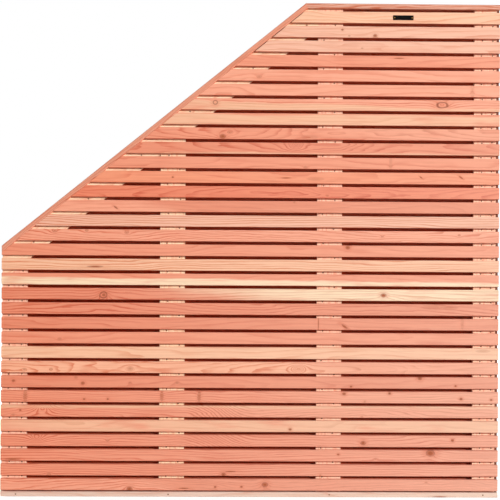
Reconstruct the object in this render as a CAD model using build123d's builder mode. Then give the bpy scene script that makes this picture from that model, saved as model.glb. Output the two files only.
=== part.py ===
from build123d import *
import math
import os

# A slatted timber fence panel whose upper left corner is cut to a slope.
# Two layers of level slats stand either side of upright battens, half a step apart, so that each
# layer covers the gaps of the other. Flat boards cap the level top and the slope.
# Millimetres, +Z up, front towards -Y, origin on the ground at the middle of the width and depth.

# Outline
PANEL_WIDTH = 1800
PANEL_HEIGHT = 1790
LOW_SIDE = 905
FLAT_TOP = 706

# Slats
SLAT_WIDTH = 42
SLAT_THICK = 18
SLAT_GAP = 11
SLAT_EASE = 2
SLOPE_JOINT = 2
BASE_GAP = 5
LEAST_STRIP = 10
BACK_GROUP = 4

# Battens
BATTEN_WIDTH = 90
BATTEN_THICK = 20
BATTEN_COUNT = 4
SLOPE_BATTEN_WIDTH = 80

# Caps
CAP_THICK = 18
CAP_EASE = 2

# Countersunk screws that hold the caps down
CAP_SCREW_LENGTH = 55
CAP_SCREW_SHANK = 2.2
CAP_SCREW_HEAD = 4.5
COUNTERSINK_ANGLE = 90
TOP_SCREW_EDGE = 22.5
SLOPE_SCREW_COUNT = 5
SLOPE_SCREW_INSET = 70
SCREW_CLEARANCE = 0.1

# Plate on the top slat and its screws
PLATE_LENGTH = 74
PLATE_HEIGHT = 17
PLATE_THICK = 1.5
PLATE_CORNER = 2
PLATE_SCREW_INSET = 5
PLATE_SCREW_SHANK = 1.5
PLATE_SCREW_HEAD = 2.8
PLATE_SCREW_RISE = 1.4
PLATE_SCREW_EASE = 0.8
PLATE_SCREW_LENGTH = 12

# What follows from those sizes
panel_left = -PANEL_WIDTH / 2
panel_right = PANEL_WIDTH / 2
corner_x = panel_right - FLAT_TOP
slope_run = corner_x - panel_left
slope_rise = PANEL_HEIGHT - LOW_SIDE
slope_length = math.hypot(slope_run, slope_rise)
slope_angle = math.atan2(slope_rise, slope_run)
panel_depth = 2 * SLAT_THICK + BATTEN_THICK
layer_offset = (BATTEN_THICK + SLAT_THICK) / 2
cap_underside = PANEL_HEIGHT - CAP_THICK
slat_pitch = SLAT_WIDTH + SLAT_GAP
slat_count = int((cap_underside - BASE_GAP - LEAST_STRIP) / slat_pitch)
strip_height = cap_underside - slat_count * slat_pitch - BASE_GAP
batten_pitch = (PANEL_WIDTH - BATTEN_WIDTH) / (BATTEN_COUNT - 1)
batten_centres = [panel_left + BATTEN_WIDTH / 2 + i * batten_pitch for i in range(BATTEN_COUNT)]
full_battens = [x for x in batten_centres if x - BATTEN_WIDTH / 2 >= corner_x]
top_screw_spacing = BATTEN_WIDTH - 2 * TOP_SCREW_EDGE
plate_screw_spacing = PLATE_LENGTH - 2 * PLATE_SCREW_INSET
stock_length = PANEL_WIDTH + PANEL_HEIGHT

# Planes that the boards are sawn to, and the face of the slope with its X axis up the slope
along_slope = Vector(math.cos(slope_angle), 0, math.sin(slope_angle))
out_of_slope = Vector(-math.sin(slope_angle), 0, math.cos(slope_angle))
outer_corner = (corner_x, 0, PANEL_HEIGHT)
slope_face = Plane(origin=outer_corner, x_dir=along_slope, z_dir=out_of_slope)
slope_section = Plane(origin=outer_corner, x_dir=(0, 1, 0), z_dir=-along_slope)
top_face = Plane.XY.offset(PANEL_HEIGHT)
top_section = Plane(origin=outer_corner, x_dir=(0, 1, 0), z_dir=(1, 0, 0))
mitre = Plane(origin=outer_corner, z_dir=(math.cos(slope_angle / 2), 0, math.sin(slope_angle / 2)))
left_side = Plane(origin=(panel_left, 0, 0), z_dir=(1, 0, 0))
right_side = Plane(origin=(panel_right, 0, 0), z_dir=(1, 0, 0))
slat_cut = slope_face.offset(-(CAP_THICK + SLOPE_JOINT))
batten_cut = slope_face.offset(-(CAP_THICK + SLOPE_BATTEN_WIDTH))

# Places of the cap screws, each a plane on the cap's outer face
slope_screw_pitch = (slope_length - 2 * SLOPE_SCREW_INSET) / (SLOPE_SCREW_COUNT - 1)
slope_screws = [
    slope_face.shift_origin(slope_face.from_local_coords((-SLOPE_SCREW_INSET - i * slope_screw_pitch, 0, 0)))
    for i in range(SLOPE_SCREW_COUNT)
]
top_screws = [
    top_face.shift_origin((x + side * top_screw_spacing / 2, 0, PANEL_HEIGHT))
    for x in full_battens
    for side in (-1, 1)
]
pilot_depth = CAP_SCREW_LENGTH - CAP_THICK + SCREW_CLEARANCE

# The plate's plane on the front of the top slat, and its screws' holes in the slat
plate_face = Plane(
    origin=(corner_x + FLAT_TOP / 2, -panel_depth / 2, cap_underside - SLAT_GAP - SLAT_WIDTH / 2),
    x_dir=(1, 0, 0),
    z_dir=(0, -1, 0),
)
plate_pilot_depth = PLATE_SCREW_LENGTH - PLATE_THICK + SCREW_CLEARANCE

os.makedirs("parts", exist_ok=True)


def slat_section(low, high, layer):
    """Section of a slat from low to high, in the front layer (-1) or the back layer (1), outer edges eased."""
    with BuildSketch(Plane.YZ.offset(panel_left)) as section:
        with Locations((layer * layer_offset, (low + high) / 2)):
            Rectangle(SLAT_THICK, high - low)
        outer_corners = section.vertices().group_by(Axis.X)[-1 if layer > 0 else 0]
        chamfer(outer_corners, SLAT_EASE)
    return section.sketch


def write(piece, name):
    """Label a finished piece and write it to its file."""
    piece.part.label = name
    export_step(piece.part, f"parts/{name}.step")


# Front slats, counted from the top and sawn to the slope
for index in range(slat_count):
    slat_top = cap_underside - SLAT_GAP - index * slat_pitch
    with BuildPart() as front_slat:
        extrude(slat_section(slat_top - SLAT_WIDTH, slat_top, -1), amount=PANEL_WIDTH)
        split(bisect_by=slat_cut, keep=Keep.BOTTOM)
        if index == 0:
            with Locations(plate_face):
                with GridLocations(plate_screw_spacing, 0, 2, 1):
                    Hole(PLATE_SCREW_SHANK + SCREW_CLEARANCE, depth=plate_pilot_depth)
    write(front_slat, f"front_slat_{index + 1:02d}")

# Strip under the last front slat, ripped to the height that is left
with BuildPart() as front_base_strip:
    extrude(slat_section(0, strip_height, -1), amount=PANEL_WIDTH)
write(front_base_strip, "front_base_strip")

# Back slats, one behind each front gap, ripped where they meet the cap and the ground
for first in range(0, slat_count + 1, BACK_GROUP):
    last = min(first + BACK_GROUP, slat_count + 1)
    with BuildPart() as back_slats:
        for index in range(first, last):
            gap_middle = cap_underside - SLAT_GAP / 2 - index * slat_pitch
            slat_low = max(gap_middle - SLAT_WIDTH / 2, 0)
            slat_high = min(gap_middle + SLAT_WIDTH / 2, cap_underside)
            extrude(slat_section(slat_low, slat_high, 1), amount=PANEL_WIDTH)
        split(bisect_by=slat_cut, keep=Keep.BOTTOM)
    write(back_slats, f"back_slats_{first + 1:02d}_to_{last:02d}")

# Upright battens: those left of the corner stop under the sloping batten
for number, centre in enumerate(batten_centres, start=1):
    with BuildPart() as upright_batten:
        with BuildSketch():
            with Locations((centre, 0)):
                Rectangle(BATTEN_WIDTH, BATTEN_THICK)
        extrude(amount=cap_underside)
        if centre in full_battens:
            with Locations(top_face.offset(-CAP_THICK).shift_origin((centre, 0, cap_underside))):
                with GridLocations(top_screw_spacing, 0, 2, 1):
                    Hole(CAP_SCREW_SHANK + SCREW_CLEARANCE, depth=pilot_depth)
        else:
            split(bisect_by=batten_cut, keep=Keep.BOTTOM)
    write(upright_batten, f"upright_batten_{number}")

# Sloping batten, from the left side up to the first full batten, cut level under the top cap
with BuildPart() as slope_batten:
    with BuildSketch(slope_section):
        with Locations((0, CAP_THICK + SLOPE_BATTEN_WIDTH / 2)):
            Rectangle(BATTEN_THICK, SLOPE_BATTEN_WIDTH)
    extrude(amount=stock_length, both=True)
    split(bisect_by=left_side, keep=Keep.TOP)
    split(bisect_by=Plane(origin=(full_battens[0] - BATTEN_WIDTH / 2, 0, 0), z_dir=(1, 0, 0)), keep=Keep.BOTTOM)
    split(bisect_by=top_face.offset(-CAP_THICK), keep=Keep.BOTTOM)
    with Locations(*[place.offset(-CAP_THICK) for place in slope_screws]):
        Hole(CAP_SCREW_SHANK + SCREW_CLEARANCE, depth=pilot_depth)
write(slope_batten, "slope_batten")

# Caps over the whole depth, mitred at the corner and flush with the sides
with BuildPart() as top_cap:
    with BuildSketch(top_section) as cap_section:
        with Locations((0, -CAP_THICK / 2)):
            Rectangle(panel_depth, CAP_THICK)
        chamfer(cap_section.vertices(), CAP_EASE)
    extrude(amount=stock_length, both=True)
    split(bisect_by=mitre, keep=Keep.TOP)
    split(bisect_by=right_side, keep=Keep.BOTTOM)
    with Locations(*top_screws):
        CounterSinkHole(
            CAP_SCREW_SHANK + SCREW_CLEARANCE,
            CAP_SCREW_HEAD,
            depth=CAP_THICK,
            counter_sink_angle=COUNTERSINK_ANGLE,
        )
write(top_cap, "top_cap")

with BuildPart() as slope_cap:
    with BuildSketch(slope_section) as cap_section:
        with Locations((0, CAP_THICK / 2)):
            Rectangle(panel_depth, CAP_THICK)
        chamfer(cap_section.vertices(), CAP_EASE)
    extrude(amount=stock_length, both=True)
    split(bisect_by=mitre, keep=Keep.BOTTOM)
    split(bisect_by=left_side, keep=Keep.TOP)
    with Locations(*slope_screws):
        CounterSinkHole(
            CAP_SCREW_SHANK + SCREW_CLEARANCE,
            CAP_SCREW_HEAD,
            depth=CAP_THICK,
            counter_sink_angle=COUNTERSINK_ANGLE,
        )
write(slope_cap, "slope_cap")

# Countersunk screws, heads flush with the caps
head_depth = (CAP_SCREW_HEAD - CAP_SCREW_SHANK) / math.tan(math.radians(COUNTERSINK_ANGLE / 2))
from_top = (Align.CENTER, Align.CENTER, Align.MAX)
with BuildPart() as cap_screws:
    with Locations(*top_screws, *slope_screws):
        Cone(CAP_SCREW_SHANK, CAP_SCREW_HEAD, head_depth, align=from_top)
        Cylinder(CAP_SCREW_SHANK, CAP_SCREW_LENGTH, align=from_top)
write(cap_screws, "cap_screws")

# Plate on the top slat, with a round-headed screw at each end
with BuildPart() as name_plate:
    with BuildSketch(plate_face):
        RectangleRounded(PLATE_LENGTH, PLATE_HEIGHT, PLATE_CORNER)
        with GridLocations(plate_screw_spacing, 0, 2, 1):
            Circle(PLATE_SCREW_SHANK + SCREW_CLEARANCE, mode=Mode.SUBTRACT)
    extrude(amount=PLATE_THICK)
write(name_plate, "name_plate")

with BuildPart() as plate_screws:
    with BuildSketch(plate_face.offset(PLATE_THICK)):
        with GridLocations(plate_screw_spacing, 0, 2, 1):
            Circle(PLATE_SCREW_HEAD)
    extrude(amount=PLATE_SCREW_RISE)
    head_rims = plate_screws.edges().group_by(Axis.Y)[0]
    chamfer(head_rims, PLATE_SCREW_EASE)
    with BuildSketch(plate_face.offset(PLATE_THICK)):
        with GridLocations(plate_screw_spacing, 0, 2, 1):
            Circle(PLATE_SCREW_SHANK)
    extrude(amount=-PLATE_SCREW_LENGTH)
write(plate_screws, "plate_screws")
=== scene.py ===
import math
import random

import bpy
from mathutils import Matrix, Vector, noise


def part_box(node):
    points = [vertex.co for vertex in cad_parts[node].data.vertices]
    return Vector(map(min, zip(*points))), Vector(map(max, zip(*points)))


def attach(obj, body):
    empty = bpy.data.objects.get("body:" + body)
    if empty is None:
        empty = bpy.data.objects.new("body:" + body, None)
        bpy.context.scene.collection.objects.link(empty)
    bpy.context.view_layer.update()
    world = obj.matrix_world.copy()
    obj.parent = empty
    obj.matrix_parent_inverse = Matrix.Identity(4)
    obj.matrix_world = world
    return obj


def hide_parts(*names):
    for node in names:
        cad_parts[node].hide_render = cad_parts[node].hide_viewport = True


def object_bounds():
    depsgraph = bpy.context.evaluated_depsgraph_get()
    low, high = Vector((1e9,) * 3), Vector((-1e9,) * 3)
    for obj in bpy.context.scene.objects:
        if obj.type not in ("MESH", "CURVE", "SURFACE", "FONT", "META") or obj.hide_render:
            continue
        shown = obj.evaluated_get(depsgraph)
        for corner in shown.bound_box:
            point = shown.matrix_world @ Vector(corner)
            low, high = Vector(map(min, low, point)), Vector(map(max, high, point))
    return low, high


bl_info = {
    "name": "Slatted fence panel",
    "version": (1, 0, 0),
    "blender": (4, 5, 0),
    "location": "View3D > Sidebar > Fence",
    "description": "Dresses a two layer timber fence panel with a sloped corner",
    "category": "Object",
}

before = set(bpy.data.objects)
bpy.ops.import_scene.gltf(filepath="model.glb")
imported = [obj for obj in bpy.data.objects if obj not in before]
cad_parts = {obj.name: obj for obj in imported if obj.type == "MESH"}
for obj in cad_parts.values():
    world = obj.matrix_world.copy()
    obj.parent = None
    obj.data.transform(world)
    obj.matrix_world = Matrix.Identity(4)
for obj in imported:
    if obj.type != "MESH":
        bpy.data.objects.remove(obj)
cad_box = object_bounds()

MM = 0.001
PER_METRE = 1000.0
BLACK = (0.0, 0.0, 0.0)
WHITE = (1.0, 1.0, 1.0)


def tone(code):
    """Linear colour of a hex code as a colour chart gives it."""
    parts = [int(code[i:i + 2], 16) / 255 for i in (1, 3, 5)]
    return tuple(p / 12.92 if p <= 0.04045 else ((p + 0.055) / 1.055) ** 2.4 for p in parts)


def length_of(name, text, default):
    return bpy.props.FloatProperty(
        name=name, description=text, default=default, min=0.0, unit="LENGTH", precision=4
    )


def colour_of(name, text, code):
    return bpy.props.FloatVectorProperty(
        name=name, description=text, default=tone(code), size=3, min=0.0, max=1.0, subtype="COLOR"
    )


class FENCE_PG_boards(bpy.types.PropertyGroup):
    """Sizes of the boards and the fixings."""

    edge_round: length_of("Edge round", "Radius of the long edges of a slat", 2.2 * MM)
    end_ease: length_of("End ease", "Chamfer round the sawn ends of a slat", 0.4 * MM)
    slope_joint: length_of("Slope joint", "Least gap between a slat and the cap on the slope", 0.15 * MM)
    open_joint: length_of("Open joint", "How much wider that gap is at the topmost slats", 2.6 * MM)
    bow: length_of("Bow", "How far a slat wanders up or down along its length", 0.25 * MM)
    nail_radius: length_of("Nail radius", "Radius of a nail head", 2.6 * MM)
    nail_rise: length_of("Nail rise", "How far a nail head stands out of the batten", 0.8 * MM)


class FENCE_PG_tones(bpy.types.PropertyGroup):
    """Colours of the timber and the fixings."""

    deep: colour_of("Deep", "Darkest heartwood", "#EA7C59")
    red: colour_of("Red", "Red heartwood", "#E88665")
    salmon: colour_of("Salmon", "Usual heartwood", "#EE8F6E")
    orange: colour_of("Orange", "Heartwood with more yellow", "#F18F69")
    light: colour_of("Light", "Paler heartwood", "#F49D7D")
    peach: colour_of("Peach", "Pale orange wood", "#F7AC88")
    pink: colour_of("Pink", "Pale pink wood", "#F1B093")
    cream: colour_of("Cream", "Sapwood", "#F6B893")
    # Painted light: the paler colour that the slats are blended to towards the right side and the foot, where
    # more light falls.
    lit_tone: colour_of("Bleach", "What the wood fades to on the right, the sunny side", "#FFEDDA")
    batten: colour_of("Batten", "Pale wood of the second batten and the sloping one", "#FFDFBA")
    rosy: colour_of("Rosy", "Pinker pale wood of the other battens", "#FFD0B2")
    top_cap: colour_of("Top cap", "Wood of the board on the level top", "#DFA088")
    slope_cap: colour_of("Slope cap", "Wood of the board on the slope", "#E3967A")
    strip: colour_of("Strip", "Wood of the strip at the foot", "#E6C1AE")
    knot: colour_of("Knot", "Heart of a knot", "#BE6B48")
    # Painted shade: a dark strip along the right edge of the right batten, for the shade at the right end of
    # each gap.
    end_shade: colour_of("Bark", "Bark left along the edge of a batten", "#6A2A12")
    # Painted shade: the dark colour laid on the front slats' undersides and the back slats' inner faces, where
    # the gaps are in shade.
    gap_shade: colour_of("Stain", "Undersides in the gaps and inner faces of the back layer, gone dark", "#BC4412")
    plate: colour_of("Plate", "Lacquer of the name plate", "#0C0B0B")
    dust: colour_of("Dust", "Dust on the name plate", "#262322")
    steel: colour_of("Steel", "Zinc plated screws", "#85827C")
    nail: colour_of("Nail", "Nail heads gone dull", "#8A5A44")
    brass: colour_of("Brass", "Screws of the plate", "#7A5A34")


class FENCE_PG_stage(bpy.types.PropertyGroup):
    """Light and floor."""

    key: bpy.props.FloatProperty(
        name="Key", description="Power of the key light on the right", default=5890.0, min=0.0, unit="POWER"
    )
    back: bpy.props.FloatProperty(
        name="Back", description="Power of the light behind the panel", default=2600.0, min=0.0, unit="POWER"
    )
    fill: bpy.props.FloatProperty(
        name="Fill", description="Strength of the light from all round", default=0.03, min=0.0
    )
    floor: colour_of("Floor", "Colour of the floor", "#CFCECC")


class Field:
    """A number that changes over a surface, held as a socket of some nodes."""

    def __init__(self, nodes, socket):
        self.nodes = nodes
        self.socket = socket

    def _math(self, operation, *values):
        sockets = dict(enumerate(values))
        return self.nodes.add("ShaderNodeMath", {"operation": operation}, sockets)

    def __add__(self, other):
        return self._math("ADD", self, other)

    __radd__ = __add__

    def __sub__(self, other):
        return self._math("SUBTRACT", self, other)

    def __rsub__(self, other):
        return self._math("SUBTRACT", other, self)

    def __mul__(self, other):
        return self._math("MULTIPLY", self, other)

    __rmul__ = __mul__

    def __truediv__(self, other):
        return self._math("DIVIDE", self, other)

    def __rtruediv__(self, other):
        return self._math("DIVIDE", other, self)

    def __neg__(self):
        return self._math("MULTIPLY", self, -1.0)

    def root(self):
        return self._math("SQRT", self)

    def cosine(self):
        return self._math("COSINE", self)

    def fraction(self):
        return self._math("FRACT", self)

    def most(self, other):
        return self._math("MAXIMUM", self, other)

    def rise(self, start, end):
        """0 below start, 1 above end and a smooth step between them."""
        return self.nodes.add(
            "ShaderNodeMapRange",
            {"interpolation_type": "SMOOTHSTEP"},
            {"Value": self, "From Min": start, "From Max": end},
        )

    def fall(self, start, end):
        return 1.0 - self.rise(start, end)


class Nodes:
    """Nodes of a material or of the world, added one by one."""

    def __init__(self, tree):
        self.tree = tree

    def feed(self, socket, value):
        if isinstance(value, Field):
            self.tree.links.new(value.socket, socket)
        elif socket.type == "RGBA":
            socket.default_value = (*value, 1.0)
        else:
            socket.default_value = value

    def add(self, kind, settings=None, sockets=None, output=0):
        """Add a node of that kind, with its settings first and then its sockets' values or links."""
        node = self.tree.nodes.new(kind)
        for key, value in (settings or {}).items():
            setattr(node, key, value)
        for key, value in (sockets or {}).items():
            self.feed(node.inputs[key], value)
        return Field(self, node.outputs[output]) if node.outputs else None

    def seen(self):
        """1 for what the camera, a gloss or a clear piece sees, and 0 for light that falls on a piece."""
        rays = ("Is Camera Ray", "Is Glossy Ray", "Is Transmission Ray")
        return strongest([self.add("ShaderNodeLightPath", output=ray) for ray in rays])


class Finish(Nodes):
    """A material of a piece."""

    def __init__(self, name):
        self.material = bpy.data.materials.new(name)
        self.material.use_nodes = True
        super().__init__(self.material.node_tree)
        self.shader = self.tree.nodes["Principled BSDF"]

    def place(self):
        """The three coordinates of a point of the piece, in millimetres."""
        spot = self.add("ShaderNodeTexCoord", output="Object")
        return [self.add("ShaderNodeSeparateXYZ", None, {0: spot}, output=i) * PER_METRE for i in range(3)]

    def point(self, x, y, z):
        return self.add("ShaderNodeCombineXYZ", None, {0: x, 1: y, 2: z})

    def cloud(self, x, y, z, detail=2.0, roughness=0.5):
        """Soft noise from about -0.5 to 0.5."""
        sockets = {"Vector": self.point(x, y, z), "Scale": 1.0, "Detail": detail, "Roughness": roughness}
        return self.add("ShaderNodeTexNoise", {"noise_dimensions": "3D"}, sockets) - 0.5

    def blend(self, share, first, second):
        return self.add("ShaderNodeMix", {"data_type": "RGBA"}, {0: share, 6: first, 7: second}, output=2)

    def shade(self, colour, level):
        """A colour made lighter or darker by a level round 1."""
        return self.add("ShaderNodeVectorMath", {"operation": "SCALE"}, {0: colour, "Scale": level})

    def surface(self, **values):
        for key, value in values.items():
            self.feed(self.shader.inputs[key.replace("_", " ").title()], value)

    def cover(self, share, colour):
        """Lay a colour over what the surface has so far."""
        bare = Field(self, self.shader.inputs["Base Color"].links[0].from_socket)
        self.surface(base_color=self.blend(share, bare, colour))

    def relief(self, height, depth):
        """Feed a height in millimetres to the normal."""
        sockets = {"Height": height, "Strength": 1.0, "Distance": depth * MM}
        self.feed(self.shader.inputs["Normal"], self.add("ShaderNodeBump", None, sockets))

    def gloss(self, level):
        self.shader.inputs["Specular IOR Level"].default_value = level

    def lay_on(self, piece):
        piece.data.materials.clear()
        piece.data.materials.append(self.material)


# How the growth rings lie in a board: where the heart of the log was, below and beside the face, how far
# apart the rings are, how far they wander, how far the log sweeps along the board, and how dark they are.
FIGURES = {
    "plain": {"below": 90.0, "beside": 34.0, "step": 7.0, "wander": 7.0, "sweep": 6.0, "depth": 0.65},
    "lined": {"below": 50.0, "beside": 55.0, "step": 6.2, "wander": 8.0, "sweep": 5.0, "depth": 1.7},
    "wavy": {"below": 66.0, "beside": 46.0, "step": 5.2, "wander": 11.0, "sweep": 9.0, "depth": 1.7},
    "flame": {"below": 46.0, "beside": 14.0, "step": 5.0, "wander": 9.0, "sweep": 10.0, "depth": 1.2},
}
SWEEP_LENGTH = 170.0
# How long and how wide the marks of the wood are, in millimetres: the drift and the ripple of the rings, the
# fibres, the streaks, the darker patches and the places where the rings are worn pale.
DRIFT = (380.0, 70.0)
RIPPLE = (60.0, 14.0)
FIBRES = (45.0, 0.8)
STREAKS = (240.0, 4.5)
PATCHES = (190.0, 34.0)
WORN = (260.0, 15.0)
RING_WANDER = 17.0
# Red, green and blue of each shade, as shares of the tone that it belongs to.
SHADES = {
    "early": (1.04, 1.09, 1.11),
    "late": (0.82, 0.46, 0.33),
    "turned": (0.80, 0.62, 0.54),
    "sap": (0.84, 0.68, 0.60),
    "patch": (0.95, 0.80, 0.74),
    "light_streak": (1.05, 1.16, 1.20),
    "dark_streak": (0.92, 0.76, 0.70),
    "halo": (0.78, 0.56, 0.48),
    "knot": (0.40, 0.27, 0.24),
    "dull_metal": (0.55, 0.50, 0.46),
    "rust": (0.5, 0.42, 0.40),
}
SAP_BLUR = 4.0
WOOD_GLOSS = 0.08
WOOD_RELIEF = 0.35
PLATE_GLOSS = 0.03
# Painted light: how much paler the slats grow towards the right, and where that starts, in millimetres.
LIGHT_WASH_SHARE = 0.20
LIGHT_WASH_START = -350.0
# Share of the painted shade laid in the gaps.
GAP_SHADE_SHARE = 0.75
# Shape of each kind of knot: how much longer than its radius it is along the grain and higher across it, how
# far it bends the rings, and how strongly it is coloured.
KNOT_STRETCH = {
    "round": 1.25, "faint": 1.5, "eye": 2.0, "ring": 1.15, "streak": 8.0, "slant": 1.6, "band": 0.8,
    "burl": 1.5, "patch": 4.5, "joint": 0.16, "shade": 0.8,
}
KNOT_HEIGHT = {"slant": 0.7, "band": 2.6, "joint": 3.0, "shade": 2.6}
KNOT_BEND = {"burl": 2.0, "band": 0.8, "patch": 0.3, "streak": 1.0, "joint": 0.0, "shade": 0.5}
KNOT_STRENGTH = {"faint": 0.38, "band": 0.55, "burl": 0.0, "patch": 0.30, "joint": 0.8, "shade": 0.22}
USUAL_BEND = 2.4
SLANT_FALL = 0.6


def shade_of(colour, name):
    return tuple(part * share for part, share in zip(colour, SHADES[name]))


def strongest(fields):
    """The largest of some fields at each point."""
    result = fields[0]
    for other in fields[1:]:
        result = result.most(other)
    return result


def wood(along, across, through, finish, base, figure, seed, pale=None, turn=None, knots=(), flame=None,
         fade=None, slants=()):
    """Sawn and planed timber with growth rings, sapwood, fibres and knots.

    along, across and through are millimetres down the grain, over the width and into the board.
    pale is the sapwood's colour, its edge ("top" or "foot"), its share of the width in the middle of the
    board and how many millimetres it loses per metre.
    turn is a second colour and the two places along the grain between which it takes over.
    knots are rows of place along, place across, radius and kind.
    slants are rows of place along, reach either way and how far the rings fall over that reach.
    fade is painted light: the paler colour that the wood is blended to along the grain towards the lit right
    side, its greatest share, and where it starts and is full.
    """
    tones = bpy.context.scene.fence_tones
    rings = FIGURES[figure]
    dice = random.Random(seed)
    shift = dice.uniform(-40.0, 40.0)
    side = dice.choice((-1.0, 1.0))
    slant = dice.uniform(-0.012, 0.012)
    if pale:
        side = 1.0 if pale[1] == "foot" else -1.0
    start = flame if flame is not None else dice.uniform(-900.0, 900.0)

    drift = finish.cloud(along / DRIFT[0] + shift, across / DRIFT[1], through / DRIFT[1])
    ripple = finish.cloud(along / RIPPLE[0], across / RIPPLE[1] + shift, through / RIPPLE[1])
    sweep = ((along - start) / SWEEP_LENGTH + drift * 3.0).cosine() * rings["sweep"]
    aside = across + along * slant - side * rings["beside"]
    under = through - rings["below"] + sweep
    radius = (aside * aside + under * under).root()
    radius = radius + drift * (3.0 * rings["wander"]) + ripple * rings["wander"] * 0.4

    vivid = []
    for place, reach, amount in slants:
        beyond = along - place
        radius = radius - beyond.rise(-reach, reach) * (side * amount)
        vivid.append(beyond.rise(-reach, -0.5 * reach) * beyond.fall(0.5 * reach, reach))

    cores, rims, halos, hearts = [], [], [], []
    for place, height, size, kind in knots:
        from_middle = (along - place) / (size * KNOT_STRETCH[kind])
        rise = across - height
        if kind == "slant":
            rise = rise + (along - place) * SLANT_FALL
        off_middle = rise / (size * KNOT_HEIGHT.get(kind, 1.0))
        reach = (from_middle * from_middle + off_middle * off_middle).root()
        radius = radius - size * KNOT_BEND.get(kind, USUAL_BEND) / (1.0 + reach * reach)
        strength = KNOT_STRENGTH.get(kind, 1.0)
        if strength == 0.0:
            vivid.append(reach.fall(0.8, 3.2))
            continue
        reach = reach + ripple * 0.7
        is_hollow = kind in ("eye", "ring")
        if not is_hollow:
            cores.append(reach.fall(0.35, 1.15) * strength)
        rims.append(reach.rise(0.62, 0.95) * reach.fall(1.0, 1.35) * (0.8 if is_hollow else 0.5 * strength))
        halos.append(reach.fall(0.9, 3.4) * strength)
        hearts.append(reach)

    wander = finish.cloud(radius / RING_WANDER + shift, 0.5, 0.5, detail=1.0)
    turns = (radius / rings["step"] + wander * 1.6).fraction()
    late = turns.rise(0.30, 0.92) * turns.fall(0.93, 1.0)
    fibres = finish.cloud(along / FIBRES[0] + shift, across / FIBRES[1], through / FIBRES[1], 3.0, 0.65)
    streaks = finish.cloud(along / STREAKS[0], across / STREAKS[1] + shift, through / STREAKS[1])
    patches = finish.cloud(along / PATCHES[0] + shift * 2.0, across / PATCHES[1], through / PATCHES[1], 2.5)
    worn = finish.cloud(along / WORN[0] - shift, across / WORN[1], through / WORN[1])
    lines = late * late * (0.30 + 0.70 * worn.rise(-0.18, 0.22)) * rings["depth"]
    if vivid:
        lines = lines * (1.0 + strongest(vivid) * 1.4)

    colour = finish.blend(lines, shade_of(base, "early"), shade_of(base, "late"))
    if turn:
        other, first, last = turn
        place = along + (drift + ripple * 0.4) * 260.0 + across * 4.0
        turned = finish.blend(lines * 0.8, other, shade_of(other, "turned"))
        colour = finish.blend(place.rise(first, last), colour, turned)
    if pale:
        sap, edge, share, taper = pale
        level = across if edge == "top" else -across
        level = level + (drift * 26.0 + ripple * 6.0) - along * (taper * MM)
        boundary = slat_width / MM * (0.5 - share)
        sapwood = finish.blend(lines * 0.7, sap, shade_of(sap, "sap"))
        colour = finish.blend(level.rise(boundary - SAP_BLUR, boundary + SAP_BLUR), colour, sapwood)
    colour = finish.blend(patches.rise(0.02, 0.30) * 0.75, colour, shade_of(base, "patch"))
    colour = finish.blend(streaks.rise(0.03, 0.26) * 0.55, colour, shade_of(base, "light_streak"))
    colour = finish.blend(streaks.fall(-0.24, -0.04) * 0.50, colour, shade_of(base, "dark_streak"))
    # Painted light: blend towards a paler colour along the board, towards the lit right side.
    if fade:
        faded, most, first, last = fade
        colour = finish.blend((along - first) * (most / (last - first)), colour, faded)
    height = fibres * 0.35 + late * 0.35
    if hearts:
        dark_knot = shade_of(tones.knot, "knot")
        colour = finish.blend(strongest(halos) * 0.30, colour, shade_of(base, "halo"))
        heart = strongest([1.0 / (0.3 + reach) for reach in hearts])
        grown = finish.blend((heart * 1.9 + ripple * 0.8).fraction() * 0.6, tones.knot, dark_knot)
        if cores:
            core = strongest(cores)
            colour = finish.blend(core * 0.95, colour, grown)
            height = height + core * 0.5
        rim = strongest(rims)
        colour = finish.blend(rim * (0.75 + worn), colour, dark_knot)
        height = height - rim * 0.6
    colour = finish.shade(colour, 1.0 + fibres * 0.16 + streaks * 0.12)
    finish.surface(base_color=colour, roughness=0.62 + fibres * 0.22 - late * 0.06)
    finish.gloss(WOOD_GLOSS)
    finish.relief(height, WOOD_RELIEF)
    return finish


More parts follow.
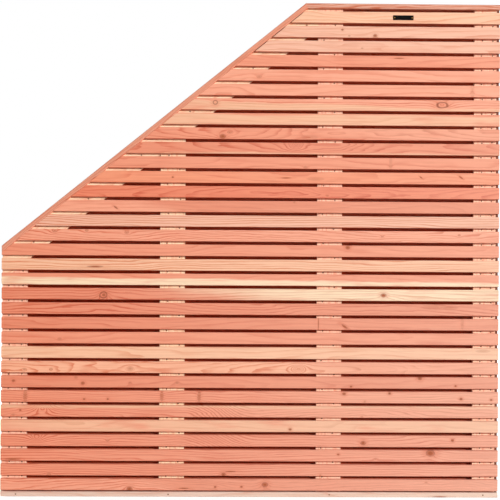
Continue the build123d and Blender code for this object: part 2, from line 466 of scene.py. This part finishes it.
# Front boards from the top: heartwood tone, figure of the grain, and what else shows on the face.
# Knots are millimetres from the left side of the panel, millimetres above the middle of the board,
# radius in millimetres and kind.
FRONT_BOARDS = (
    ("cream", "plain", {}),
    ("pink", "plain", {"knots": ((1226, 8, 3, "round"), (1345, -13, 5, "round"), (1251, -14, 3, "faint"))}),
    ("pink", "plain", {"knots": ((1298, -6, 3, "faint"),)}),
    ("salmon", "plain", {"knots": ((1431, 12, 2, "streak"),)}),
    ("light", "plain", {"knots": ((925, -6, 6, "faint"),)}),
    ("light", "plain", {"knots": ((1700, 3, 9, "shade"),)}),
    ("light", "lined", {"pale": ("cream", "foot", 0.66, 22),
                        "knots": ((767, 6, 7, "ring"), (1590, 2, 10, "eye"))}),
    ("salmon", "plain", {"pale": ("cream", "foot", 0.88, 0)}),
    ("salmon", "flame", {"flame": 800, "turn": ("light", 1050, 1450),
                         "knots": ((795, -11, 8, "round"), (820, 4, 6, "faint"), (1110, -12, 6, "patch"))}),
    ("red", "flame", {"flame": 1030, "pale": ("cream", "foot", 0.10, 0), "knots": ((1060, 14, 14, "burl"),)}),
    ("salmon", "plain", {"knots": ((1095, -14, 4, "faint"), (1404, 0, 7, "shade"))}),
    ("orange", "plain", {"knots": ((1025, -1, 2, "streak"), (615, -1, 2.5, "round"), (1130, -4, 6, "patch"),
                                   (1515, 4, 3, "slant"), (1660, 5, 4, "slant"))}),
    ("deep", "flame", {"flame": 915, "knots": ((1175, -12, 3, "faint"),)}),
    ("light", "plain", {"turn": ("red", 450, 700), "knots": ((410, -6, 4, "slant"), (1055, 17, 3, "faint"))}),
    ("pink", "lined", {}),
    ("light", "wavy", {"knots": ((190, 15, 5, "faint"), (305, 16, 4, "faint"), (450, 10, 5, "faint"),
                                 (1375, 1, 3, "faint"), (1655, 7, 3, "faint"))}),
    ("salmon", "plain", {"knots": ((1250, 13, 6, "round"),)}),
    ("cream", "lined", {"knots": ((338, -8, 3.2, "streak"),)}),
    ("salmon", "plain", {"pale": ("batten", "foot", 0.48, 9)}),
    ("red", "lined", {"turn": ("batten", 480, 1150),
                      "knots": ((367, -4, 11, "ring"), (369, -4, 5, "round"), (1381, -1, 7, "round"))}),
    ("red", "wavy", {"knots": ((1565, 12, 9, "patch"), (1620, 8, 6, "patch"))}),
    ("red", "plain", {"knots": ((1240, -8, 6, "slant"), (1145, 0, 9, "joint"), (1668, 2, 7, "shade"))}),
    ("salmon", "plain", {"knots": ((210, -5, 5, "faint"),)}),
    ("cream", "plain", {"knots": ((1744, 11, 5, "patch"),)}),
    ("peach", "flame", {"flame": 1090, "turn": ("light", 1000, 1350),
                        "knots": ((85, -9, 4, "faint"), (180, -8, 4, "faint"), (465, -6, 7, "faint"),
                                  (1075, -4, 13, "burl"))}),
    ("red", "plain", {"knots": ((45, 3, 4, "round"), (270, 16, 4, "faint"), (295, -5, 5, "round"),
                                (465, -3, 3, "faint"), (635, -2, 4, "faint"), (1265, -14, 3, "round"),
                                (1515, 17, 6, "round"), (1645, -10, 3, "round"))}),
    ("salmon", "lined", {"turn": ("light", 900, 1300),
                         "knots": ((88, 0, 8, "band"), (580, 2, 7, "band"), (715, 0, 7, "band"),
                                   (300, -10, 3, "round"), (385, -9, 3, "round"), (1240, 13, 5, "round"),
                                   (1405, 15, 4, "round"), (1315, -15, 3, "faint"), (1665, -4, 4, "round"),
                                   (1775, -7, 3, "round"))}),
    ("salmon", "wavy", {"pale": ("cream", "top", 0.18, 0), "turn": ("light", 500, 1000),
                        "knots": ((70, 3, 3, "round"), (150, 14, 17, "burl"), (45, -15, 4, "faint"),
                                  (1305, -17, 3, "faint")), "slants": ((790, 130, 60),)}),
    ("light", "plain", {"turn": ("cream", -200, 300), "knots": ((1045, -11, 4, "round"),)}),
    ("salmon", "lined", {"knots": ((130, 10, 12, "burl"), (385, 0, 4, "faint"), (1310, -6, 7, "round"),
                                   (1635, 4, 4, "round")), "slants": ((780, 140, 65),)}),
    ("salmon", "lined", {"knots": ((45, -15, 3, "streak"), (1220, 5, 3, "round"), (1555, 12, 11, "round"),
                                   (1355, -12, 3, "faint"))}),
    ("salmon", "lined", {"knots": ((175, -17, 5, "faint"), (805, -16, 6, "round"), (830, -5, 2, "streak"),
                                   (1155, -16, 3, "faint"))}),
    ("light", "wavy", {"turn": ("salmon", 450, 700),
                       "knots": ((955, 1, 8, "round"), (465, -16, 7, "round"), (660, -13, 2, "streak"),
                                 (775, -8, 3, "round"), (870, -7, 3, "round"), (1540, 10, 3, "faint"))}),
)
# Where the nails stand over the width of each upright batten: both in every gap on the outer ones, and by
# turns on the inner ones.
NAIL_PLACES = ((0.29, 0.80), (0.30, 0.78), (0.22, 0.69), (0.30, 0.74))
BATTEN_TONES = ("rosy", "batten", "rosy", "rosy")
BACK_TONES = ("salmon", "light", "red", "orange", "pink", "cream")
BACK_FIGURES = ("plain", "lined", "wavy", "flame")
BACK_KNOTS = ("round", "faint", "faint", "patch")
SAP_CHANCE = 0.3

# First numbers of the random draws.
BACK_DICE = 7
NAIL_DICE = 11
STRIP_SEED = 90
BACK_SEED = 100
BATTEN_SEED = 200
SLOPE_BATTEN_SEED = 210
TOP_CAP_SEED = 301
SLOPE_CAP_SEED = 302

# The mesh of a slat: rows of points along it, the share of the length at which the rows by its ends stand,
# the gap that the solids leave at the slope, how many slats have the open joint, which one low on the
# slope is still cut by it, steps round an edge and up the face, and how the bow goes.
STATIONS = 36
END_SUPPORT = 0.0005
SLOPE_JOINT = 2.0 * MM
JOINT_SPREAD = 1.5
OPEN_SLATS = 3
LOW_CUT_SLAT = 14
EASE_STEPS = 3
EASE_SUPPORT = 0.3
FACE_LEVELS = 4
BOW_PACE = 0.9
BOW_STRIDE = 3.1
BOW_LAYER = 0.4

# How high over a slat's underside and how deep behind a back slat's inner face the painted shade of the gaps
# ends, in millimetres.
UNDERSIDE_SHADE = (0.3, 0.9)
INNER_FACE_SHADE = (0.5, 3.0)
# Painted shade along the right edge of the right batten: where it starts, in millimetres from the middle of
# the panel, then the length and reach of its wavy edge and its share.
END_SHADE_EDGE = (890.0, 892.0)
END_SHADE_LENGTH = 60.0
END_SHADE_WANDER = 2.0
END_SHADE_SHARE = 0.92
# How far the middle of each board on the slope lies from the origin, square to the slope, in millimetres.
SLOPE_BATTEN_LEVEL = 1190.0
SLOPE_CAP_LEVEL = 1260.0
TOP_CAP_KNOTS = ((420.0, 6.0, 6.0, "round"), (700.0, -12.0, 5.0, "faint"))
SLOPE_CAP_KNOTS = ((300.0, -8.0, 6.0, "round"), (820.0, 10.0, 5.0, "faint"), (1130.0, -3.0, 5.0, "round"))

# The mesh of a nail head, as rings of radius and rise, and how far nails stray, in millimetres.
NAIL_RINGS = ((1.0, 0.0), (1.0, 0.45), (0.86, 0.85), (0.5, 1.0))
NAIL_SIDES = 12
NAIL_ASIDE = 3.0
NAIL_ALOFT = 1.5
SLOPE_NAIL_ALOFT = 1.0
STRIP_NAIL_ASIDE = 12.0
# Metres from the slope to the nails of the upright battens, and to those of the sloping batten.
NAIL_CLEARANCE = 0.15
SLOPE_NAIL_ROOM = 0.1
SLOPE_NAIL_REACH = (0.035, 0.075)

FLOOR_REACH = 30.0
FLOOR_GLOW = 0.70
FLOOR_FAR = (2500.0, 6000.0)
LAMP_AIM = (0.0, 0.0, 0.9)
KEY_SIZE = 0.8
KEY_PLACE = (16.0, -16.0, 5.9)
BACK_SIZE = 2.5
BACK_PLACE = (-14.0, 8.0, 6.0)

CAMERA_PLACE = (-0.085, -4.628, 0.891)
CAMERA_TURN = (1.005, 0.04, -0.35)
SENSOR_WIDTH = 36.0
FOCAL_PIXELS = 1271.0
IMAGE_PIXELS = 500.0

front_boxes = [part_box(f"front_slat_{i + 1:02d}") for i in range(len(FRONT_BOARDS))]
panel_low, panel_high = cad_box
panel_left = panel_low.x
panel_right = panel_high.x
batten_boxes = [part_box(f"upright_batten_{i + 1}") for i in range(len(NAIL_PLACES))]
batten_front = batten_boxes[0][0].y
batten_back = batten_boxes[0][1].y
slat_thick = front_boxes[1][1].y - front_boxes[1][0].y
slat_gap = front_boxes[0][0].z - front_boxes[1][1].z
slat_width = front_boxes[0][1].z - front_boxes[0][0].z
cap_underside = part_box("top_cap")[0].z

# The slope that the slats are sawn to, from the low corners of two of them.
slope_high = front_boxes[0][0]
slope_low = front_boxes[LOW_CUT_SLAT][0]
slope_run = (slope_high.x - slope_low.x) / (slope_high.z - slope_low.z)
slope_angle = math.atan(1.0 / slope_run)


def slope_line(z):
    """Where the slats' cut along the slope lies at that height."""
    return slope_high.x + (z - slope_high.z) * slope_run


def slope_left(z, closer=0.0):
    """Where a slat starts at that height: at the panel's side, or at the slope, a little closer to the cap."""
    return max(panel_left, slope_line(z) - closer / math.sin(slope_angle))


def section_levels(low, high, ease):
    """Heights up a board's section, each with how far its face is pulled in there."""
    turns = [math.pi / 2 * step / EASE_STEPS for step in range(EASE_STEPS + 1)]
    bottom = [(low + ease * (1 - math.cos(turn)), ease * (1 - math.sin(turn))) for turn in turns]
    top = [(low + high - z, pull) for z, pull in reversed(bottom)]
    support = EASE_SUPPORT * ease
    first = low + ease + support
    last = high - ease - support
    face = [(first + (last - first) * i / (FACE_LEVELS + 1), 0.0) for i in range(FACE_LEVELS + 2)]
    return bottom + face + top


def new_piece(name, verts, faces):
    mesh = bpy.data.meshes.new(name)
    mesh.from_pydata(verts, [], faces)
    mesh.update()
    piece = bpy.data.objects.new(name, mesh)
    bpy.context.scene.collection.objects.link(piece)
    return piece


def board_faces(rows, levels):
    """Faces between a board's rows of points and over its ends, and the numbers of those that stay flat."""
    ring = 2 * levels
    top = ring - 2
    faces = []
    flat = set()
    for row in range(rows - 1):
        here, there = row * ring, (row + 1) * ring
        first_face = len(faces)
        for j in range(levels - 1):
            a, b = 2 * j, 2 * j + 2
            faces.append((here + a, there + a, there + b, here + b))
            faces.append((here + a + 1, here + b + 1, there + b + 1, there + a + 1))
        faces.append((here, here + 1, there + 1, there))
        faces.append((here + top, there + top, there + top + 1, here + top + 1))
        if row in (0, rows - 2):
            flat.update(range(first_face, len(faces)))
    for base, turn in ((0, False), ((rows - 1) * ring, True)):
        for j in range(levels - 1):
            a = base + 2 * j
            quad = (a, a + 2, a + 3, a + 1)
            flat.add(len(faces))
            faces.append(tuple(reversed(quad)) if turn else quad)
    return faces, flat


def board(name, low, high, front, back, seed):
    """A planed slat between two heights, from the side or the slope to the right side, with eased edges."""
    sizes = bpy.context.scene.fence_boards
    levels = section_levels(low, high, min(sizes.edge_round, (high - low) / 4))
    middle = Vector((0.0, (front + back) / 2, (low + high) / 2))
    half = (back - front) / 2
    gap = sizes.slope_joint * (1.0 + JOINT_SPREAD * random.Random(seed).random())
    if low > front_boxes[OPEN_SLATS][0].z:
        gap += sizes.open_joint
    closer = SLOPE_JOINT - gap
    inner = [min(max(i / (STATIONS - 1), END_SUPPORT), 1.0 - END_SUPPORT) for i in range(STATIONS)]
    stations = [-1.0, 0.0, *inner, 1.0, 2.0]
    verts = []
    for share in stations:
        along = min(max(share, 0.0), 1.0)
        tuck = sizes.end_ease if share < 0.0 or share > 1.0 else 0.0
        for z, pull in levels:
            left = slope_left(z, closer) + (0.0 if share < 0.0 else sizes.end_ease)
            right = panel_right - (0.0 if share > 1.0 else sizes.end_ease)
            x = left + (right - left) * along
            lift = sizes.bow * noise.noise(Vector((x * BOW_PACE, seed * BOW_STRIDE, BOW_LAYER)))
            height = middle.z + (z - middle.z) * (1.0 - 2.0 * tuck / (high - low)) + lift
            height = min(max(height, 0.0), cap_underside)
            width = half - pull - tuck
            verts.append((x, -width, height - middle.z))
            verts.append((x, width, height - middle.z))
    faces, flat = board_faces(len(stations), len(levels))
    piece = new_piece(name, verts, faces)
    for index, polygon in enumerate(piece.data.polygons):
        polygon.use_smooth = index not in flat
    piece.location = middle
    return piece


def board_finish(piece, name, tone_name, figure, seed, extra):
    """Give a level board its own timber, with the places on it counted from the panel's left side."""
    tones = bpy.context.scene.fence_tones
    finish = Finish(name)
    x, y, z = finish.place()
    from_left = panel_left / MM
    options = dict(extra)
    if "pale" in options:
        sap, *rest = options["pale"]
        options["pale"] = (tuple(getattr(tones, sap)), *rest)
    if "turn" in options:
        second, first, last = options["turn"]
        options["turn"] = (tuple(getattr(tones, second)), first + from_left, last + from_left)
    if "flame" in options:
        options["flame"] += from_left
    # Painted light: more of the paler colour lower down the panel, where more light falls.
    share = LIGHT_WASH_SHARE * (1.4 - 0.8 * piece.location.z / panel_high.z)
    options["fade"] = (tuple(tones.lit_tone), share, from_left + LIGHT_WASH_START, panel_right / MM)
    for key in ("knots", "slants"):
        options[key] = [(place + from_left, *rest) for place, *rest in options.get(key, ())]
    wood(x, z, y, finish, tuple(getattr(tones, tone_name)), figure, seed, **options)
    finish.lay_on(piece)
    return finish


def slope_places(finish):
    """Millimetres along the slope, square to it and through the panel."""
    x, y, z = finish.place()
    along = x * math.cos(slope_angle) + z * math.sin(slope_angle)
    across = z * math.cos(slope_angle) - x * math.sin(slope_angle)
    return along, across, y


class FENCE_OT_front_slats(bpy.types.Operator):
    """Make the slats of the front layer and the strip at its foot"""

    bl_idname = "fence.front_slats"
    bl_label = "Front slats"

    def execute(self, context):
        tones = context.scene.fence_tones
        for index, (tone_name, figure, extra) in enumerate(FRONT_BOARDS):
            low, high = front_boxes[index]
            node = f"front_slat_{index + 1:02d}"
            front = batten_front - slat_thick
            piece = board(f"{node}_board", low.z, high.z, front, batten_front, index + 1)
            finish = board_finish(piece, f"{node}_wood", tone_name, figure, index + 1, extra)
            above_foot = finish.place()[2] + slat_width / MM / 2
            # Painted shade on the underside of the slat, in the shade of the gap below it.
            finish.cover(above_foot.fall(*UNDERSIDE_SHADE) * GAP_SHADE_SHARE, tuple(tones.gap_shade))
            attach(piece, "root")
            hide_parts(node)
        low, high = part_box("front_base_strip")
        piece = board("front_base_strip_board", low.z, high.z, low.y, batten_front, STRIP_SEED)
        extra = {"knots": ((1590, -7, 3, "streak"),)}
        board_finish(piece, "front_base_strip_wood", "strip", "plain", STRIP_SEED, extra)
        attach(piece, "root")
        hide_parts("front_base_strip")
        return {"FINISHED"}


class FENCE_OT_back_slats(bpy.types.Operator):
    """Make the slats of the back layer, each behind a gap of the front one"""

    bl_idname = "fence.back_slats"
    bl_label = "Back slats"

    def execute(self, context):
        groups = sorted(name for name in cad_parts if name.startswith("back_slats_"))
        dice = random.Random(BACK_DICE)
        tones = context.scene.fence_tones
        for index in range(len(FRONT_BOARDS) + 1):
            above = index < len(FRONT_BOARDS)
            box = front_boxes[index] if above else front_boxes[-1]
            middle = box[1].z + slat_gap / 2 if above else box[0].z - slat_gap / 2
            low = max(middle - slat_width / 2, 0.0)
            high = min(middle + slat_width / 2, cap_underside)
            name = f"back_slat_{index + 1:02d}"
            seed = BACK_SEED + index
            piece = board(f"{name}_board", low, high, batten_back, batten_back + slat_thick, seed)
            knots = []
            for _ in range(dice.randint(1, 5)):
                kind = dice.choice(BACK_KNOTS)
                knots.append((dice.uniform(60, 1740), dice.uniform(-15, 15), dice.uniform(3, 7), kind))
            extra = {"knots": knots}
            if dice.random() < SAP_CHANCE:
                extra["pale"] = ("cream", dice.choice(("top", "foot")), dice.uniform(0.2, 0.6), 0.0)
            tone_name = dice.choice(BACK_TONES)
            figure = dice.choice(BACK_FIGURES)
            finish = board_finish(piece, f"{name}_wood", tone_name, figure, seed, extra)
            behind_face = finish.place()[1] + slat_thick / MM / 2
            # Painted shade on the inner face of the back slat, in the shade behind the gaps.
            finish.cover(behind_face.fall(*INNER_FACE_SHADE) * GAP_SHADE_SHARE, tuple(tones.gap_shade))
            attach(piece, "root")
            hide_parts(groups[index // 4])
        return {"FINISHED"}


class FENCE_OT_battens(bpy.types.Operator):
    """Give the upright battens and the sloping one their pale timber"""

    bl_idname = "fence.battens"
    bl_label = "Battens"

    def execute(self, context):
        tones = context.scene.fence_tones
        for index, (low, high) in enumerate(batten_boxes):
            finish = Finish(f"upright_batten_{index + 1}_wood")
            x, y, z = finish.place()
            middle = (low.x + high.x) / 2 / MM
            pale = tuple(getattr(tones, BATTEN_TONES[index]))
            wood(z, x - middle, y, finish, pale, "plain", BATTEN_SEED + index)
            if index == len(batten_boxes) - 1:
                # Painted shade along the right edge of the last batten, at the right end of each gap.
                edge = x + finish.cloud(z / END_SHADE_LENGTH, 3.0, 1.0) * END_SHADE_WANDER
                finish.cover(edge.rise(*END_SHADE_EDGE) * END_SHADE_SHARE, tuple(tones.end_shade))
            finish.lay_on(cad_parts[f"upright_batten_{index + 1}"])
        finish = Finish("slope_batten_wood")
        along, across, y = slope_places(finish)
        pale = tuple(tones.batten)
        wood(along, across - SLOPE_BATTEN_LEVEL, y, finish, pale, "plain", SLOPE_BATTEN_SEED)
        finish.lay_on(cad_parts["slope_batten"])
        return {"FINISHED"}


class FENCE_OT_caps(bpy.types.Operator):
    """Give the cap boards their timber, with the grain along each board"""

    bl_idname = "fence.caps"
    bl_label = "Caps"

    def execute(self, context):
        tones = context.scene.fence_tones
        finish = Finish("top_cap_wood")
        x, y, z = finish.place()
        depth = z - cap_underside / MM
        wood(x, y, depth, finish, tuple(tones.top_cap), "wavy", TOP_CAP_SEED, knots=TOP_CAP_KNOTS)
        finish.lay_on(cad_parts["top_cap"])
        finish = Finish("slope_cap_wood")
        along, across, y = slope_places(finish)
        depth = across - SLOPE_CAP_LEVEL
        wood(along, y, depth, finish, tuple(tones.slope_cap), "flame", SLOPE_CAP_SEED, knots=SLOPE_CAP_KNOTS)
        finish.lay_on(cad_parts["slope_cap"])
        return {"FINISHED"}


def nail_heads(name, spots, facing):
    """Flat nail heads with a soft rim on a face that looks to the front (-1) or to the back (1)."""
    sizes = bpy.context.scene.fence_boards
    turns = [2 * math.pi * i / NAIL_SIDES for i in range(NAIL_SIDES)]
    lid_start = (len(NAIL_RINGS) - 1) * NAIL_SIDES
    verts = []
    faces = []
    for x, y, z in spots:
        base = len(verts)
        for share, rise in NAIL_RINGS:
            across = sizes.nail_radius * share
            level = y + facing * rise * sizes.nail_rise
            verts += [(x + across * math.cos(turn), level, z + across * math.sin(turn)) for turn in turns]
        for start in range(base, base + lid_start, NAIL_SIDES):
            for i in range(NAIL_SIDES):
                a, b = start + i, start + (i + 1) % NAIL_SIDES
                quad = (a, b, b + NAIL_SIDES, a + NAIL_SIDES)
                faces.append(quad if facing < 0 else tuple(reversed(quad)))
        lid = tuple(base + lid_start + i for i in range(NAIL_SIDES))
        faces.append(lid if facing < 0 else tuple(reversed(lid)))
        seat = tuple(base + i for i in range(NAIL_SIDES))
        faces.append(tuple(reversed(seat)) if facing < 0 else seat)
    return new_piece(name, verts, faces)


def metal(name, colour, roughness, scale):
    """Plated metal with grime in marks of that scale, in millimetres."""
    finish = Finish(name)
    x, y, z = finish.place()
    grain = scale * 0.12
    grime = finish.cloud(x / scale, y / scale, z / scale, detail=4.0, roughness=0.6)
    fine = finish.cloud(x / grain, y / grain, z / grain)
    tint = finish.blend(grime.rise(-0.05, 0.22), colour, shade_of(colour, "dull_metal"))
    finish.surface(base_color=tint, roughness=roughness + grime * 0.3 + fine * 0.1, metallic=1.0)
    finish.relief(fine * 0.4 + grime * 0.4, 0.06)
    return finish


class FENCE_OT_nails(bpy.types.Operator):
    """Set the nail heads that show on the battens in the gaps of each layer"""

    bl_idname = "fence.nails"
    bl_label = "Nails"

    def execute(self, context):
        dice = random.Random(NAIL_DICE)
        tones = context.scene.fence_tones
        finish = Finish("nail_steel")
        x, y, z = finish.place()
        rust = finish.cloud(x / 3.0, y / 3.0, z / 3.0, detail=4.0)
        tint = finish.blend(rust.rise(-0.1, 0.2), tuple(tones.nail), shade_of(tones.nail, "rust"))
        finish.surface(base_color=tint, roughness=0.55 + rust * 0.3, metallic=0.25)
        finish.relief(rust, 0.08)
        front = []
        back = []
        gaps = [box[1].z + slat_gap / 2 for box in front_boxes[1:]]
        middles = [(box[0].z + box[1].z) / 2 for box in front_boxes]
        slope_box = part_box("slope_batten")
        for layer, heights, y in ((front, gaps, batten_front), (back, middles, batten_back)):
            for row, height in enumerate(heights):
                for number, (low, high) in enumerate(batten_boxes):
                    shares = NAIL_PLACES[number]
                    if number in (1, 2):
                        shares = shares[:1] if row % 2 else shares[1:]
                    for share in shares:
                        x = low.x + (high.x - low.x) * share + dice.uniform(-NAIL_ASIDE, NAIL_ASIDE) * MM
                        if slope_line(height) + NAIL_CLEARANCE > x and number < 2:
                            continue
                        layer.append((x, y, height + dice.uniform(-NAIL_ALOFT, NAIL_ALOFT) * MM))
                start = slope_left(height)
                if start > panel_left and start + SLOPE_NAIL_ROOM < slope_box[1].x and row % 3 == 0:
                    x = start + dice.uniform(*SLOPE_NAIL_REACH)
                    layer.append((x, y, height + dice.uniform(-SLOPE_NAIL_ALOFT, SLOPE_NAIL_ALOFT) * MM))
        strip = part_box("front_base_strip")
        for low, high in batten_boxes:
            x = (low.x + high.x) / 2 + dice.uniform(-STRIP_NAIL_ASIDE, STRIP_NAIL_ASIDE) * MM
            front.append((x, strip[0].y, (strip[0].z + strip[1].z) / 2))
        for name, spots, facing in (("front_nail_heads", front, -1), ("back_nail_heads", back, 1)):
            piece = nail_heads(name, spots, facing)
            finish.lay_on(piece)
            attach(piece, "root")
        return {"FINISHED"}


class FENCE_OT_fixings(bpy.types.Operator):
    """Finish the bare plate, its screws and the screws of the caps"""

    bl_idname = "fence.fixings"
    bl_label = "Plate and screws"

    def execute(self, context):
        tones = context.scene.fence_tones
        finish = Finish("plate_lacquer")
        x, y, z = finish.place()
        brushed = finish.cloud(x / 14.0, y / 2.0, z / 0.35, detail=3.0)
        dust = finish.cloud(x / 9.0, y / 9.0, z / 5.0, detail=4.0)
        tint = finish.blend(dust.rise(0.0, 0.3) * 0.5, tuple(tones.plate), tuple(tones.dust))
        finish.surface(base_color=tint, roughness=0.5 + brushed * 0.2 + dust * 0.15)
        finish.gloss(PLATE_GLOSS)
        finish.relief(brushed, 0.05)
        finish.lay_on(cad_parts["name_plate"])
        metal("plate_screw_brass", tuple(tones.brass), 0.5, 3.0).lay_on(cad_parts["plate_screws"])
        metal("cap_screw_zinc", tuple(tones.steel), 0.45, 4.0).lay_on(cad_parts["cap_screws"])
        return {"FINISHED"}


class FENCE_OT_stage(bpy.types.Operator):
    """Lay the floor, set the lights and the world, and stand the camera"""

    bl_idname = "fence.stage"
    bl_label = "Stage"

    def execute(self, context):
        self.lay_floor(context)
        self.light(context)
        self.stand_camera(context)
        return {"FINISHED"}

    def lay_floor(self, context):
        reach = FLOOR_REACH
        corners = [(-reach, -reach, 0.0), (reach, -reach, 0.0), (reach, reach, 0.0), (-reach, reach, 0.0)]
        floor = new_piece("floor", corners, [(0, 1, 2, 3)])
        floor.location.z = cad_box[0].z
        finish = Finish("floor_paper")
        x, y, _ = finish.place()
        mottle = finish.cloud(x / 400.0, y / 400.0, 0.0, detail=3.0)
        away = (x * x + y * y).root().rise(*FLOOR_FAR)
        glow = finish.seen() * (FLOOR_GLOW + (1.0 - FLOOR_GLOW) * away)
        finish.surface(
            base_color=finish.shade(tuple(context.scene.fence_stage.floor), 1.0 + mottle * 0.02),
            roughness=0.9,
            emission_color=finish.blend(glow, BLACK, WHITE),
            emission_strength=1.0,
        )
        finish.lay_on(floor)

    def light(self, context):
        settings = context.scene.fence_stage
        for name, power, size, place in (
            ("key_light", settings.key, KEY_SIZE, KEY_PLACE),
            ("back_light", settings.back, BACK_SIZE, BACK_PLACE),
        ):
            light = bpy.data.lights.new(name, "AREA")
            light.energy = power
            light.shape = "DISK"
            light.size = size
            lamp = bpy.data.objects.new(name, light)
            lamp.location = place
            lamp.rotation_euler = (lamp.location - Vector(LAMP_AIM)).to_track_quat("Z", "Y").to_euler()
            context.scene.collection.objects.link(lamp)
        world = bpy.data.worlds.new("studio")
        context.scene.world = world
        world.use_nodes = True
        world.node_tree.nodes.clear()
        sky = Nodes(world.node_tree)
        around = sky.add("ShaderNodeBackground", None, {"Color": WHITE, "Strength": settings.fill})
        white = sky.add("ShaderNodeBackground", None, {"Color": WHITE, "Strength": 1.0})
        mixed = sky.add("ShaderNodeMixShader", None, {0: sky.seen(), 1: around, 2: white})
        sky.add("ShaderNodeOutputWorld", None, {"Surface": mixed})
        context.scene.view_settings.view_transform = "Standard"

    def stand_camera(self, context):
        yaw, pitch, roll = (math.radians(angle) for angle in CAMERA_TURN)
        level = math.cos(pitch)
        forward = Vector((math.sin(yaw) * level, math.cos(yaw) * level, math.sin(pitch)))
        right = Vector((math.cos(yaw), -math.sin(yaw), 0.0))
        down = forward.cross(right)
        turned_right = math.cos(roll) * right + math.sin(roll) * down
        turned_up = math.sin(roll) * right - math.cos(roll) * down
        camera_data = bpy.data.cameras.new("camera")
        camera_data.sensor_width = SENSOR_WIDTH
        camera_data.lens = FOCAL_PIXELS * SENSOR_WIDTH / IMAGE_PIXELS
        camera_data.clip_end = 100.0
        camera = bpy.data.objects.new("camera", camera_data)
        axes = Matrix((turned_right, turned_up, -forward)).transposed()
        camera.matrix_world = Matrix.Translation(Vector(CAMERA_PLACE)) @ axes.to_4x4()
        context.scene.collection.objects.link(camera)
        context.scene.camera = camera


class FENCE_PT_panel(bpy.types.Panel):
    """Steps and settings of the fence panel"""

    bl_idname = "FENCE_PT_panel"
    bl_label = "Fence panel"
    bl_space_type = "VIEW_3D"
    bl_region_type = "UI"
    bl_category = "Fence"

    def draw(self, context):
        for operator in OPERATORS:
            self.layout.operator(operator.bl_idname)
        for group in (context.scene.fence_boards, context.scene.fence_tones, context.scene.fence_stage):
            box = self.layout.box()
            for key in group.bl_rna.properties.keys():
                if key not in ("rna_type", "name"):
                    box.prop(group, key)


GROUPS = {"fence_boards": FENCE_PG_boards, "fence_tones": FENCE_PG_tones, "fence_stage": FENCE_PG_stage}
OPERATORS = (
    FENCE_OT_front_slats,
    FENCE_OT_back_slats,
    FENCE_OT_battens,
    FENCE_OT_caps,
    FENCE_OT_nails,
    FENCE_OT_fixings,
    FENCE_OT_stage,
)
CLASSES = (*GROUPS.values(), *OPERATORS, FENCE_PT_panel)


def register():
    for cls in CLASSES:
        bpy.utils.register_class(cls)
    for name, group in GROUPS.items():
        setattr(bpy.types.Scene, name, bpy.props.PointerProperty(type=group))


def unregister():
    for name in GROUPS:
        delattr(bpy.types.Scene, name)
    for cls in reversed(CLASSES):
        bpy.utils.unregister_class(cls)


def main():
    register()
    bpy.ops.fence.front_slats()
    bpy.ops.fence.back_slats()
    bpy.ops.fence.battens()
    bpy.ops.fence.caps()
    bpy.ops.fence.nails()
    bpy.ops.fence.fixings()
    bpy.ops.fence.stage()
    bpy.context.view_layer.update()


if __name__ == "__main__":
    main()
